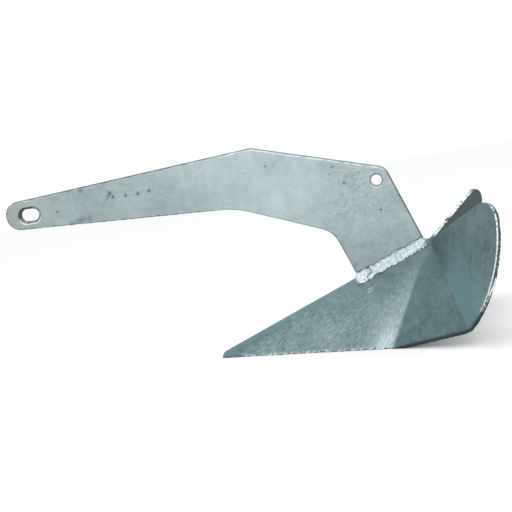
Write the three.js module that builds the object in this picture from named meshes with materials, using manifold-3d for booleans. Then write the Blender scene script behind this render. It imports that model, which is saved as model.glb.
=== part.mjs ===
// Plough anchor with a fixed shank, in galvanised steel plate. A flat flame-cut shank stands on
// the crown of a fluke folded from one plate. The hollow of the toe holds a solid steel ballast,
// closed in by a cover plate and a bulkhead. Weld beads join the plates.
//
// Millimetres, +Z up. The anchor stands on the landings of its two front panels, its shackle eye
// towards -X, its wings towards +X and its port side towards -Y. It is symmetrical about Y = 0.
// The pieces are laid out from the toe, where the crown line meets the floor, and the whole
// anchor is then moved so that the origin is at the bottom centre of its box.

import * as THREE from 'three';
import { mergeVertices } from 'three/addons/utils/BufferGeometryUtils.js';
import Module from 'manifold-3d';

const wasm = await Module();
wasm.setup();

const degrees = Math.PI / 180;

// ---- driving dimensions --------------------------------------------------------------------

const gap = 0.3;                              // clearance between neighbouring solids
const arcStep = 7.5 * degrees;                // turn of one facet on a round edge
const holeFacets = 16;                        // facets of each round in a hole or a slot end
const weldFacets = 6;                         // facets across a weld's face
const weldFullness = 1.5;                     // 1 would be a round face, 2 a flat one
const mergeDistance = 1e-4;                   // points closer than this are one point
const samePlane = 0.99999;                    // cosine between normals that count as one
const far = 1000;                             // size of a cutter that reaches past the anchor

// Crown: the folded ridge of the fluke, a straight line that rises from the toe at the origin.
const crownRise = 20.6 * degrees;
const crownRadius = 22;                       // outside radius of the fold
const crownFacets = 8;
const crownStart = -40;                       // run along the crown, before the toe is cut
const heelRun = 700;                          // run at which the notch between the wings begins
const notchHollow = 4;                        // how far the notch's round bottom cuts forward

// Fluke: one plate with a front panel, a middle panel and a wing on each side.
const flukeThickness = 12;
const shoulder = new THREE.Vector3(526, 193, 0);       // foot of the front fold
const wingCorner = new THREE.Vector3(715, 293, 42);    // foot of the rear fold
const wingWidest = new THREE.Vector3(813, 318, 253);   // a third point of the wing's plane
const frontFoldReach = 46;                    // half width of the soft front fold at its foot
const rearFoldReach = 14;                     // half width of the sharper rear fold at its foot
const foldFacets = 4;
const sweepCentre = new THREE.Vector2(126, 39);        // trailing edge, in the wing's plane
const sweepFacets = 14;
const lobeRadius = 80;                        // round top of the wing
const lobeFacets = 10;
const notchEdgeAngle = 61.5 * degrees;        // edge beside the notch, from the rear fold
const noseCut = 30;                           // blunt front of the toe
const noseRake = 25 * degrees;                // its lean towards the wings

// Shank: side view outline, X and Z from the toe.
const shankThickness = 20;
const shankEdgeBreak = 1.2;                   // chamfer left along the flame-cut edges
const eyeLowerCorner = { x: -530, z: 462, radius: 41 };
const armBend = { x: 148, z: 412, radius: 250 };       // under the arm
const throatBend = { x: 406, z: 303, radius: 70 };     // front of the post
const rearShoulder = { x: 574, z: 454, radius: 34 };   // behind the lock hole
const humpTop = { x: 220, z: 570, radius: 24 };
const eyeUpperCorner = { x: -528, z: 541, radius: 39 };
const postCornerRadius = 2;
const postToeRun = 482;                       // where the post's front edge meets the crown
const postHeelRun = 689;                      // where its rear edge meets the crown
const shackleSlot = { x: -456, z: 498, length: 64, height: 42, slope: -3 * degrees };
const lockHole = { x: 545, z: 423, radius: 15.5 };

// Ballast chamber in the hollow of the toe.
const coverLevel = 8;                         // underside of the cover plate
const coverThickness = 10;
const bulkheadAt = 345;                       // front face of the bulkhead
const bulkheadThickness = 10;
const coverFront = 75;                        // blunt front ends of the cover and the ballast
const ballastFront = 100;
const flankReach = 260;                       // how far the hollow's sides go, past the floor

// Welds.
const weldRise = 9;                           // height on the shank's cheek above the crown
const weldSpread = 26;                        // half width over the front panels
const toeWeldRise = 11;
const toeWeldSpread = 30;
const toeWeldStart = 467;                     // run before the post's front edge
const toeWeldEnd = 524;                       // run at which the long welds begin
const toeWeldSlope = 42 * degrees;
const toeWeldLip = 0.5;                       // height of its thin front end
const longWeldEnd = 688;
const heelWeldLeg = 10;
const heelWeldRoot = 4;                       // how deep it starts inside the post's rear corner
const seamLeg = 8;                            // legs of the welds around the ballast chamber
const coverWeldFront = 96;

// ---- frames of reference -------------------------------------------------------------------

const runAxis = new THREE.Vector3(Math.cos(crownRise), 0, Math.sin(crownRise));
const acrossAxis = new THREE.Vector3(0, 1, 0);
const riseAxis = new THREE.Vector3(-Math.sin(crownRise), 0, Math.cos(crownRise));

// A point given by its run along the crown, its offset to one side and its height off the crown.
function onCrown(run, across, rise) {
  return new THREE.Vector3()
    .addScaledVector(runAxis, run)
    .addScaledVector(acrossAxis, across)
    .addScaledVector(riseAxis, rise);
}

// Tilt of the front panels: the tangent from the shoulder to the round of the crown.
const shoulderBelow = crownRadius + shoulder.dot(riseAxis);
const panelTilt = Math.atan2(-shoulderBelow, shoulder.y)
  + Math.asin(crownRadius / Math.hypot(shoulder.y, shoulderBelow));

// A point of a round under the crown, with its centre on the fold's centre line.
function onRound(run, radius, angle) {
  return onCrown(run, radius * Math.sin(angle), radius * Math.cos(angle) - crownRadius);
}

// ---- solids --------------------------------------------------------------------------------

function solidOf(geometry) {
  geometry.deleteAttribute('normal');
  geometry.deleteAttribute('uv');
  const merged = mergeVertices(geometry, mergeDistance);
  return new wasm.Manifold(new wasm.Mesh({
    numProp: 3,
    vertProperties: new Float32Array(merged.attributes.position.array),
    triVerts: new Uint32Array(merged.index.array),
  }));
}

function geometryOf(solid) {
  const mesh = solid.getMesh();
  const geometry = new THREE.BufferGeometry();
  geometry.setAttribute('position', new THREE.BufferAttribute(mesh.vertProperties, 3));
  geometry.setIndex(new THREE.BufferAttribute(mesh.triVerts, 1));
  geometry.computeVertexNormals();
  return geometry;
}

// A box between two opposite corners.
function block(low, high) {
  const size = new THREE.Vector3().subVectors(high, low);
  const geometry = new THREE.BoxGeometry(size.x, size.y, size.z);
  geometry.translate((low.x + high.x) / 2, (low.y + high.y) / 2, (low.z + high.z) / 2);
  return solidOf(geometry);
}

// A block given in the side view, wider than the anchor.
function slab(fromX, toX, fromZ, toZ) {
  return block(new THREE.Vector3(fromX, -far, fromZ), new THREE.Vector3(toX, far, toZ));
}

// A section extruded along the crown. Its points are (across, rise).
function crownBar(section, fromRun, toRun) {
  const geometry = new THREE.ExtrudeGeometry(new THREE.Shape(section), {
    depth: toRun - fromRun,
    bevelEnabled: false,
  });
  const placed = new THREE.Matrix4().makeBasis(acrossAxis, riseAxis, runAxis);
  placed.setPosition(onCrown(fromRun, 0, 0));
  geometry.applyMatrix4(placed);
  return solidOf(geometry);
}

// A weld along the corner of two surfaces, from start to end. Each surface is given by its normal,
// towards the open side, and the weld's legs lie on them. The face between them is slightly round.
function cornerWeld(start, end, firstNormal, secondNormal, leg) {
  const along = new THREE.Vector3().subVectors(end, start);
  const legOn = (surface, other) => {
    const direction = new THREE.Vector3().crossVectors(surface, along).normalize();
    return direction.multiplyScalar(leg * Math.sign(direction.dot(other)));
  };
  const legs = [legOn(firstNormal, secondNormal), legOn(secondNormal, firstNormal)];
  if (new THREE.Vector3().crossVectors(legs[0], legs[1]).dot(along) < 0) {
    legs.reverse();
  }
  const section = [new THREE.Vector2(0, 0)];
  weldArc(1, 1).forEach((point) => section.push(point));
  const geometry = new THREE.ExtrudeGeometry(new THREE.Shape(section), {
    depth: 1,
    bevelEnabled: false,
  });
  const placed = new THREE.Matrix4().makeBasis(legs[0], legs[1], along);
  placed.setPosition(start);
  geometry.applyMatrix4(placed);
  return solidOf(geometry);
}

// The slightly round face of a weld, from its leg on one surface to its leg on the other.
function weldArc(firstLeg, secondLeg) {
  const points = [];
  for (let k = 0; k <= weldFacets; k += 1) {
    const turn = (k / weldFacets) * Math.PI / 2;
    points.push(new THREE.Vector2(
      firstLeg * Math.cos(turn) ** weldFullness,
      secondLeg * Math.sin(turn) ** weldFullness,
    ));
  }
  return points;
}

// ---- shank ---------------------------------------------------------------------------------

// The outline through a list of corners, each {at, radius}, with round corners.
function roundedOutline(corners) {
  const points = [];
  corners.forEach((corner, i) => {
    const before = corners[(i + corners.length - 1) % corners.length];
    const after = corners[(i + 1) % corners.length];
    const arriving = new THREE.Vector2().subVectors(corner.at, before.at).normalize();
    const leaving = new THREE.Vector2().subVectors(after.at, corner.at).normalize();
    const turn = Math.atan2(arriving.cross(leaving), arriving.dot(leaving));
    const reach = corner.radius * Math.tan(Math.abs(turn) / 2);
    const start = corner.at.clone().addScaledVector(arriving, -reach);
    const inward = new THREE.Vector2(-arriving.y, arriving.x);
    const centre = start.clone().addScaledVector(inward, Math.sign(turn) * corner.radius);
    const steps = Math.ceil(Math.abs(turn) / arcStep);
    for (let k = 0; k <= steps; k += 1) {
      points.push(start.clone().rotateAround(centre, turn * k / steps));
    }
  });
  return points;
}

function shankCorner({ x, z, radius }) {
  return { at: new THREE.Vector2(x, z), radius };
}

function postCorner(run) {
  const foot = onCrown(run, 0, gap);
  return shankCorner({ x: foot.x, z: foot.z, radius: postCornerRadius });
}

// A slot with round ends, as a hole in the side view.
function slotPath({ x, z, length, height, slope }) {
  const radius = height / 2;
  const reach = length / 2 - radius;
  const centreX = (end) => x + end * reach * Math.cos(slope);
  const centreZ = (end) => z + end * reach * Math.sin(slope);
  const quarter = Math.PI / 2;
  const path = new THREE.Path();
  path.absarc(centreX(1), centreZ(1), radius, slope - quarter, slope + quarter);
  path.absarc(centreX(-1), centreZ(-1), radius, slope + quarter, slope + 3 * quarter);
  path.closePath();
  return path;
}

// The shank, grown by a clearance on every side.
function makeShank(clearance) {
  const shape = new THREE.Shape(roundedOutline([
    shankCorner(eyeLowerCorner),
    shankCorner(armBend),
    shankCorner(throatBend),
    postCorner(postToeRun),
    postCorner(postHeelRun),
    shankCorner(rearShoulder),
    shankCorner(humpTop),
    shankCorner(eyeUpperCorner),
  ]));
  shape.holes.push(slotPath(shackleSlot));
  const hole = new THREE.Path();
  hole.absarc(lockHole.x, lockHole.z, lockHole.radius, 0, 2 * Math.PI);
  shape.holes.push(hole);
  const thickness = shankThickness + 2 * clearance;
  const geometry = new THREE.ExtrudeGeometry(shape, {
    depth: thickness - 2 * shankEdgeBreak,
    curveSegments: holeFacets,
    bevelThickness: shankEdgeBreak,
    bevelSize: shankEdgeBreak,
    bevelOffset: clearance - shankEdgeBreak,
    bevelSegments: 1,
  });
  geometry.rotateX(Math.PI / 2);
  geometry.translate(0, thickness / 2 - shankEdgeBreak, 0);
  return solidOf(geometry);
}

// ---- fluke ---------------------------------------------------------------------------------

// The outside rim of one half of the plate, from the toe round the wing to the notch. Every
// panel of the half is a fan between this rim and the heel, where the folds meet.
function halfRim(heel) {
  const sharpRise = crownRadius / Math.cos(panelTilt) - crownRadius;
  const sharpToe = onCrown(-sharpRise / Math.tan(crownRise), 0, sharpRise);
  const toeward = new THREE.Vector3().subVectors(sharpToe, shoulder).normalize();
  const lower = new THREE.Vector3().subVectors(wingCorner, shoulder).normalize();

  const foldAxis = new THREE.Vector3().subVectors(wingCorner, heel);
  const foldLength = foldAxis.length();
  foldAxis.normalize();
  const reach = new THREE.Vector3().subVectors(wingWidest, heel);
  const wingNormal = new THREE.Vector3().crossVectors(foldAxis, reach).normalize();
  const sideAxis = new THREE.Vector3().crossVectors(wingNormal, foldAxis);
  const inWing = (centre, radius, angle) => heel.clone()
    .addScaledVector(foldAxis, centre.x + radius * Math.cos(angle))
    .addScaledVector(sideAxis, centre.y + radius * Math.sin(angle));

  // The trailing edge is a wide sweep that starts at the wing corner. The round top of the wing
  // touches both the sweep and the straight edge beside the notch.
  const sweepRadius = Math.hypot(foldLength - sweepCentre.x, sweepCentre.y);
  const sweepStart = Math.atan2(-sweepCentre.y, foldLength - sweepCentre.x);
  const edgeDirection = new THREE.Vector2(Math.cos(notchEdgeAngle), Math.sin(notchEdgeAngle));
  const fromEdge = new THREE.Vector2(edgeDirection.y, -edgeDirection.x).multiplyScalar(lobeRadius);
  const offset = new THREE.Vector2().subVectors(fromEdge, sweepCentre);
  const back = offset.dot(edgeDirection);
  const alongEdge = Math.sqrt(back ** 2 - offset.lengthSq() + (sweepRadius - lobeRadius) ** 2) - back;
  const lobeCentre = fromEdge.clone().addScaledVector(edgeDirection, alongEdge);
  const lobeStart = new THREE.Vector2().subVectors(lobeCentre, sweepCentre).angle();
  const lobeEnd = notchEdgeAngle + Math.PI / 2;

  const rearFoldEnd = sweepStart + rearFoldReach / sweepRadius;
  const frontFold = new THREE.QuadraticBezierCurve3(
    shoulder.clone().addScaledVector(toeward, frontFoldReach),
    shoulder,
    shoulder.clone().addScaledVector(lower, frontFoldReach),
  );
  const rearFold = new THREE.QuadraticBezierCurve3(
    wingCorner.clone().addScaledVector(lower, -rearFoldReach),
    wingCorner,
    inWing(sweepCentre, sweepRadius, rearFoldEnd),
  );
  const rim = [...frontFold.getPoints(foldFacets), ...rearFold.getPoints(foldFacets)];
  for (let k = 1; k <= sweepFacets; k += 1) {
    const angle = rearFoldEnd + (lobeStart - rearFoldEnd) * k / sweepFacets;
    rim.push(inWing(sweepCentre, sweepRadius, angle));
  }
  for (let k = 1; k <= lobeFacets; k += 1) {
    const angle = lobeStart + (lobeEnd - lobeStart) * k / lobeFacets;
    rim.push(inWing(lobeCentre, lobeRadius, angle));
  }
  return rim;
}

// The outside surface of the folded plate, as points and triangles that face outwards.
function flukeSurface() {
  const points = [];
  const triangles = [];
  const add = (point) => points.push(point) - 1;

  const toeLine = [];
  const heelLine = [];
  for (let k = 0; k <= crownFacets; k += 1) {
    const share = 2 * k / crownFacets - 1;
    const angle = panelTilt * share;
    toeLine.push(add(onRound(crownStart, crownRadius, angle)));
    heelLine.push(add(onRound(heelRun - notchHollow * (1 - share ** 2), crownRadius, angle)));
  }
  for (let k = 0; k < crownFacets; k += 1) {
    triangles.push([toeLine[k], heelLine[k], heelLine[k + 1]]);
    triangles.push([toeLine[k], heelLine[k + 1], toeLine[k + 1]]);
  }

  const rim = halfRim(onRound(heelRun, crownRadius, panelTilt));
  [1, -1].forEach((side) => {
    const end = side > 0 ? crownFacets : 0;
    const fan = [toeLine[end]];
    rim.forEach((point) => fan.push(add(new THREE.Vector3(point.x, side * point.y, point.z))));
    for (let k = 0; k + 1 < fan.length; k += 1) {
      const facing = side > 0 ? [fan[k], heelLine[end], fan[k + 1]] : [fan[k + 1], heelLine[end], fan[k]];
      triangles.push(facing);
    }
  });
  return { points, triangles };
}

// For each point, the move that shifts every panel around it by one unit along its normal. Where
// more than three panels meet it is the best fit.
function unitMoves(points, triangles) {
  const normals = points.map(() => []);
  triangles.forEach((corners) => {
    const [a, b, c] = corners.map((i) => points[i]);
    const ab = new THREE.Vector3().subVectors(b, a);
    const ac = new THREE.Vector3().subVectors(c, a);
    const normal = ab.cross(ac).normalize();
    corners.forEach((i) => {
      if (normals[i].every((known) => known.dot(normal) < samePlane)) {
        normals[i].push(normal);
      }
    });
  });
  return normals.map((around) => {
    const slack = 1e-5;
    const total = new THREE.Vector3();
    const products = [slack, 0, 0, 0, slack, 0, 0, 0, slack];
    around.forEach((normal) => {
      const n = normal.toArray();
      total.add(normal);
      products.forEach((_, i) => {
        products[i] += n[Math.floor(i / 3)] * n[i % 3];
      });
    });
    return total.applyMatrix3(new THREE.Matrix3().set(...products).invert());
  });
}

// A closed plate between two offsets of a surface.
function plate({ points, triangles }, outside, inside) {
  const moves = unitMoves(points, triangles);
  const shifted = (distance) => points.map((p, i) => p.clone().addScaledVector(moves[i], distance));
  const vertices = [...shifted(outside), ...shifted(inside)];
  const under = points.length;
  const faces = [];
  const edges = new Set();
  triangles.forEach(([a, b, c]) => {
    faces.push([a, b, c], [under + c, under + b, under + a]);
    [[a, b], [b, c], [c, a]].forEach((edge) => edges.add(edge.join()));
  });
  edges.forEach((edge) => {
    const [a, b] = edge.split(',').map(Number);
    if (!edges.has([b, a].join())) {
      faces.push([b, a, under + a], [b, under + a, under + b]);
    }
  });
  const geometry = new THREE.BufferGeometry().setFromPoints(vertices);
  geometry.setIndex(faces.flat());
  return solidOf(geometry);
}

function makeFluke(outside, inside) {
  const floor = slab(-far, far, -far, 0);
  const nose = new THREE.BoxGeometry(far, far, far);
  nose.translate(-far / 2, 0, 0);
  nose.rotateY(noseRake);
  nose.translate(noseCut, 0, 0);
  return plate(flukeSurface(), outside, inside).subtract(floor).subtract(solidOf(nose));
}

// ---- ballast chamber -----------------------------------------------------------------------

// The space inside the fold, a gap clear of the plate.
function toeHollow() {
  const radius = crownRadius - flukeThickness - gap;
  const section = [];
  const point = (angle, along) => new THREE.Vector2(
    radius * Math.sin(angle) + Math.sign(angle) * along * Math.cos(panelTilt),
    radius * Math.cos(angle) - crownRadius - along * Math.sin(panelTilt),
  );
  section.push(point(panelTilt, flankReach));
  for (let k = crownFacets; k >= 0; k -= 1) {
    section.push(point(panelTilt * (2 * k / crownFacets - 1), 0));
  }
  section.push(point(-panelTilt, flankReach));
  return crownBar(section, 0, heelRun);
}

const coverTop = coverLevel + coverThickness;
const bulkheadRear = bulkheadAt + bulkheadThickness;

function makeBallast(hollow) {
  return hollow.intersect(slab(ballastFront, bulkheadAt - gap, coverTop + gap, far));
}

function makeCover(hollow) {
  return hollow.intersect(slab(coverFront, bulkheadRear, coverLevel, coverTop));
}

function makeBulkhead(hollow) {
  return hollow.intersect(slab(bulkheadAt, bulkheadRear, coverTop + gap, far));
}

// ---- welds ---------------------------------------------------------------------------------

// Offset to the side at which a surface parallel to the front panel lies, at a given X and Z.
// The surface is the panel's outside moved in by a depth.
function panelAcross(x, z, depth) {
  const rise = z * Math.cos(crownRise) - x * Math.sin(crownRise);
  return (crownRadius - depth - (rise + crownRadius) * Math.cos(panelTilt)) / Math.sin(panelTilt);
}

function panelNormal(side) {
  return acrossAxis.clone().multiplyScalar(side * Math.sin(panelTilt))
    .addScaledVector(riseAxis, Math.cos(panelTilt));
}

// A point inside the front panel, a gap clear of it.
function insidePanel(x, z, side) {
  return new THREE.Vector3(x, side * panelAcross(x, z, flukeThickness + gap), z);
}

function makeCoverWeld(side) {
  const level = coverLevel - gap;
  const start = insidePanel(coverWeldFront, level, side);
  const end = insidePanel(bulkheadRear - seamLeg, level, side);
  const down = new THREE.Vector3(0, 0, -1);
  return cornerWeld(start, end, down, panelNormal(side).negate(), seamLeg);
}

function makeBulkheadWeld(side, hollow) {
  const face = bulkheadRear + gap;
  const crownTop = face * Math.tan(crownRise);
  const start = insidePanel(face, coverLevel, side);
  const end = insidePanel(face, crownTop, side);
  const rearwards = new THREE.Vector3(1, 0, 0);
  const weld = cornerWeld(start, end, rearwards, panelNormal(side).negate(), seamLeg);
  const edge = side * gap / 2;
  const half = side > 0
    ? block(new THREE.Vector3(0, edge, 0), new THREE.Vector3(far, far, far))
    : block(new THREE.Vector3(0, -far, 0), new THREE.Vector3(far, edge, far));
  return weld.intersect(hollow).intersect(half);
}

// The section of a weld that rises on the shank's cheek and spreads over the front panel.
// It reaches into the plate, which is then cut away from it.
function cheekSection(rise, spread) {
  const cheek = shankThickness / 2 + gap;
  const low = (crownRadius - spread * Math.sin(panelTilt)) / Math.cos(panelTilt) - crownRadius;
  const depth = flukeThickness / 2;
  const face = weldArc(spread - cheek, rise - low);
  return [
    new THREE.Vector2(cheek, -depth),
    new THREE.Vector2(spread, low - depth),
    ...face.map((point) => new THREE.Vector2(cheek + point.x, low + point.y)),
  ];
}

function mirrored(section) {
  return section.map((point) => new THREE.Vector2(-point.x, point.y)).reverse();
}

function makeLongWeld(side, flukeRoom) {
  const section = cheekSection(weldRise, weldSpread);
  const fromRun = toeWeldEnd + gap;
  return crownBar(side > 0 ? section : mirrored(section), fromRun, longWeldEnd).subtract(flukeRoom);
}

// The weld round the front of the post: one run on each cheek, joined across the crown, with a
// sloping front.
function makeToeWeld(flukeRoom, shankRoom) {
  const section = cheekSection(toeWeldRise, toeWeldSpread);
  const half = shankThickness / 2 + 2 * gap;
  const bridge = crownBar([
    new THREE.Vector2(-half, -flukeThickness / 2),
    new THREE.Vector2(half, -flukeThickness / 2),
    new THREE.Vector2(half, toeWeldRise),
    new THREE.Vector2(-half, toeWeldRise),
  ], toeWeldStart, postToeRun + toeWeldRise);
  const slope = new THREE.BoxGeometry(far, far, far);
  slope.translate(0, 0, far / 2);
  slope.rotateY(-toeWeldSlope);
  const placed = new THREE.Matrix4().makeBasis(runAxis, acrossAxis, riseAxis);
  placed.setPosition(onCrown(toeWeldStart, 0, toeWeldLip));
  slope.applyMatrix4(placed);
  return crownBar(section, toeWeldStart, toeWeldEnd)
    .add(crownBar(mirrored(section), toeWeldStart, toeWeldEnd))
    .add(bridge)
    .subtract(solidOf(slope))
    .subtract(flukeRoom)
    .subtract(shankRoom);
}

// The small weld behind the post, between its rear edge and the notch.
function makeHeelWeld(flukeRoom, shankRoom) {
  const root = postHeelRun - heelWeldRoot;
  const corner = (side) => onCrown(root, side * shankThickness / 2, -heelWeldRoot);
  const weld = cornerWeld(corner(-1), corner(1), runAxis, riseAxis, heelWeldLeg);
  return weld.subtract(flukeRoom).subtract(shankRoom);
}

// ---- assembly ------------------------------------------------------------------------------

function zinc(color, roughness) {
  return new THREE.MeshStandardMaterial({ color, roughness, metalness: 0.6 });
}

const shankZinc = zinc('#afbec3', 0.45);
const flukeZinc = zinc('#7e959a', 0.6);
const weldZinc = zinc('#d5dfe2', 0.35);
const ballastSteel = zinc('#6d7478', 0.7);

function makeAnchor() {
  const flukeRoom = makeFluke(gap, -flukeThickness - gap);
  const shankRoom = makeShank(gap);
  const hollow = toeHollow();
  const pieces = [
    ['shank', makeShank(0), shankZinc],
    ['fluke_plate', makeFluke(0, -flukeThickness), flukeZinc],
    ['toe_ballast', makeBallast(hollow), ballastSteel],
    ['ballast_cover', makeCover(hollow), flukeZinc],
    ['ballast_bulkhead', makeBulkhead(hollow), flukeZinc],
    ['weld_toe', makeToeWeld(flukeRoom, shankRoom), weldZinc],
    ['weld_heel', makeHeelWeld(flukeRoom, shankRoom), weldZinc],
  ];
  [['port', -1], ['starboard', 1]].forEach(([name, side]) => {
    pieces.push([`weld_shank_${name}`, makeLongWeld(side, flukeRoom), weldZinc]);
    pieces.push([`weld_cover_${name}`, makeCoverWeld(side), weldZinc]);
    pieces.push([`weld_bulkhead_${name}`, makeBulkheadWeld(side, hollow), weldZinc]);
  });
  const anchor = new THREE.Group();
  pieces.forEach(([name, solid, material]) => {
    const mesh = new THREE.Mesh(geometryOf(solid), material);
    mesh.name = name;
    anchor.add(mesh);
  });
  const centre = new THREE.Box3().setFromObject(anchor).getCenter(new THREE.Vector3());
  anchor.position.set(-centre.x, 0, 0);
  return anchor;
}

const group = new THREE.Group();
group.add(makeAnchor());

export default group;
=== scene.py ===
# Looks of a plough anchor in hot-dip galvanised steel: a flat flame-cut shank welded to a folded
# fluke, with a ballast chamber in the hollow of its toe. Metres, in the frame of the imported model.
# Design sizes are in millimetres from the toe, where the crown line meets the floor.

import math
import random

import bmesh
import bpy
import numpy as np
from mathutils import Matrix, Vector, noise


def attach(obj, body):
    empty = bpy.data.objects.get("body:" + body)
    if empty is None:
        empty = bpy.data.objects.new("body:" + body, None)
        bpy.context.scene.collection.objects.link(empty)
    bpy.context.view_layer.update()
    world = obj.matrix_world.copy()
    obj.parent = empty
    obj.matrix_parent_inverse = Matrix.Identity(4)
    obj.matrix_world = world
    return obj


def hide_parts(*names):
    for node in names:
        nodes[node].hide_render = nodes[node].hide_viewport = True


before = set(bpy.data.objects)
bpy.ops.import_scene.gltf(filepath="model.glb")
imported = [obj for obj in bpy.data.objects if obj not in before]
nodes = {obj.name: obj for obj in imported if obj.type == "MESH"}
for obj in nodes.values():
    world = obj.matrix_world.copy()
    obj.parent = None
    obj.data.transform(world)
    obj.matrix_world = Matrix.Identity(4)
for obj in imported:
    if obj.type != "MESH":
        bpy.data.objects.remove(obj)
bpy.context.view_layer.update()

MM = 0.001
TOE_X = -149.8296                 # the toe's place along X, in millimetres
PORT, STARBOARD = -1, 1
SIDE_NAMES = {PORT: "port", STARBOARD: "starboard"}

# ---- the anchor's own geometry, as in its model ---------------------------------------------

CROWN_RISE = math.radians(20.6)
CROWN_RADIUS = 22.0
HALF_SHANK = 10.0
POST_TOE_RUN = 482.0
POST_HEEL_RUN = 689.0
TOE_WELD_END = 523.0              # run at which the long welds begin
LONG_WELD_RISE = 11.0
LONG_WELD_SPREAD = 15.5           # width over the panel, from the post's cheek
TOE_WELD_RISE = 12.5
TOE_WELD_SPREAD = 18.0
HEEL_RUN = 700.0
SHOULDER = np.array((526.0, 193.0, 0.0))        # foot of the front fold, starboard side
WING_CORNER = np.array((715.0, 293.0, 42.0))    # foot of the rear fold
WING_WIDEST = np.array((813.0, 318.0, 253.0))

RUN_AXIS = np.array((math.cos(CROWN_RISE), 0.0, math.sin(CROWN_RISE)))
ACROSS_AXIS = np.array((0.0, 1.0, 0.0))
RISE_AXIS = np.array((-math.sin(CROWN_RISE), 0.0, math.cos(CROWN_RISE)))


def panel_tilt():
    """Slope of the front panels: the tangent from the shoulder to the round of the crown."""
    below = CROWN_RADIUS + SHOULDER @ RISE_AXIS
    reach = math.hypot(SHOULDER[1], below)
    return math.atan2(-below, SHOULDER[1]) + math.asin(CROWN_RADIUS / reach)


TILT = panel_tilt()
HEEL = (RUN_AXIS * HEEL_RUN + ACROSS_AXIS * CROWN_RADIUS * math.sin(TILT)
        + RISE_AXIS * CROWN_RADIUS * (math.cos(TILT) - 1))


def on_crown(run, across, rise):
    """A point by its run along the crown, its place across and its height over the crown."""
    return RUN_AXIS * run + ACROSS_AXIS * across + RISE_AXIS * rise


def crown_surface(across):
    """Height of the crown and the front panels over the crown line, at a distance across."""
    across = abs(across)
    flat_from = CROWN_RADIUS * math.sin(TILT)
    if across <= flat_from:
        return math.sqrt(CROWN_RADIUS ** 2 - across ** 2) - CROWN_RADIUS
    edge = CROWN_RADIUS * (math.cos(TILT) - 1)
    return edge - (across - flat_from) * math.tan(TILT)


def to_row(points):
    """Millimetres from the toe to metres in the row's frame."""
    return (np.asarray(points, float) + (TOE_X, 0, 0)) * MM


def to_toe(points):
    """Metres in the row's frame to millimetres from the toe."""
    return np.asarray(points, float) / MM - (TOE_X, 0, 0)


# ---- camera, light and floor ----------------------------------------------------------------

CAMERA_AT = Vector((0.5215, -2.4599, 0.5577))
CAMERA_AIM = Vector((0.0295, 0.0, 0.2713))
CAMERA_ROLL = math.radians(10.671)
CAMERA_LENS = 63.28
LIGHTS_AIM = (0.1, 0, 0.25)
LIGHTS = [    # name, place, size, power
    ("key", (1.6, -2.6, 2.6), (1.6, 1.2), 24),
    ("front", (-0.6, -3.4, 1.0), (2.4, 1.6), 4),
    ("top", (0.2, 0.6, 3.2), (2.5, 2.5), 14),
]
FLOOR_LEVEL = -0.0004             # just clear of the feet that stand on it
FLOOR_REACH = 12.0
FLOOR_TILES = 8


def make_camera():
    forward = (CAMERA_AIM - CAMERA_AT).normalized()
    level = forward.cross(Vector((0, 0, 1))).normalized()
    upright = level.cross(forward)
    right = level * math.cos(CAMERA_ROLL) - upright * math.sin(CAMERA_ROLL)
    up = right.cross(forward)
    data = bpy.data.cameras.new("camera")
    data.lens = CAMERA_LENS
    data.clip_start, data.clip_end = 0.05, 100
    camera = bpy.data.objects.new("camera", data)
    turn = Matrix((right, up, -forward)).transposed().to_4x4()
    camera.matrix_world = Matrix.Translation(CAMERA_AT) @ turn
    bpy.context.scene.collection.objects.link(camera)
    bpy.context.scene.camera = camera


def soft_light(name, place, aim, size, power):
    data = bpy.data.lights.new(name, "AREA")
    data.shape = "RECTANGLE"
    data.size, data.size_y = size
    data.energy = power
    light = bpy.data.objects.new(name, data)
    light.location = place
    light.rotation_mode = "QUATERNION"
    light.rotation_quaternion = (Vector(aim) - Vector(place)).to_track_quat("-Z", "Y")
    bpy.context.scene.collection.objects.link(light)


def make_studio():
    scene = bpy.context.scene
    scene.view_settings.view_transform = "Standard"
    world = bpy.data.worlds.new("studio")
    world.use_nodes = True
    background = world.node_tree.nodes["Background"]
    background.inputs["Color"].default_value = (1, 1, 1, 1)
    background.inputs["Strength"].default_value = 1.0
    scene.world = world
    for name, place, size, power in LIGHTS:
        soft_light(name, place, LIGHTS_AIM, size, power)


def make_floor():
    mesh = bpy.data.meshes.new("floor")
    wide = FLOOR_TILES + 1
    side = [FLOOR_REACH * (2 * k / FLOOR_TILES - 1) for k in range(wide)]
    points = [(x, y, FLOOR_LEVEL) for y in side for x in side]
    faces = [(j * wide + i, j * wide + i + 1, (j + 1) * wide + i + 1, (j + 1) * wide + i)
             for j in range(FLOOR_TILES) for i in range(FLOOR_TILES)]
    mesh.from_pydata(points, [], faces)
    floor = bpy.data.objects.new("floor", mesh)
    bpy.context.scene.collection.objects.link(floor)
    shader = Shader("floor_pale")
    grain = shader.noise(scale=3.0, detail=3)
    tone = shader.ramp(grain, [(0.35, (0.955, 0.96, 0.965)), (0.7, (0.97, 0.973, 0.976))])
    shader.surface(Roughness=0.8, base=tone)
    mesh.materials.append(shader.material)


# ---- shader building ------------------------------------------------------------------------

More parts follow.
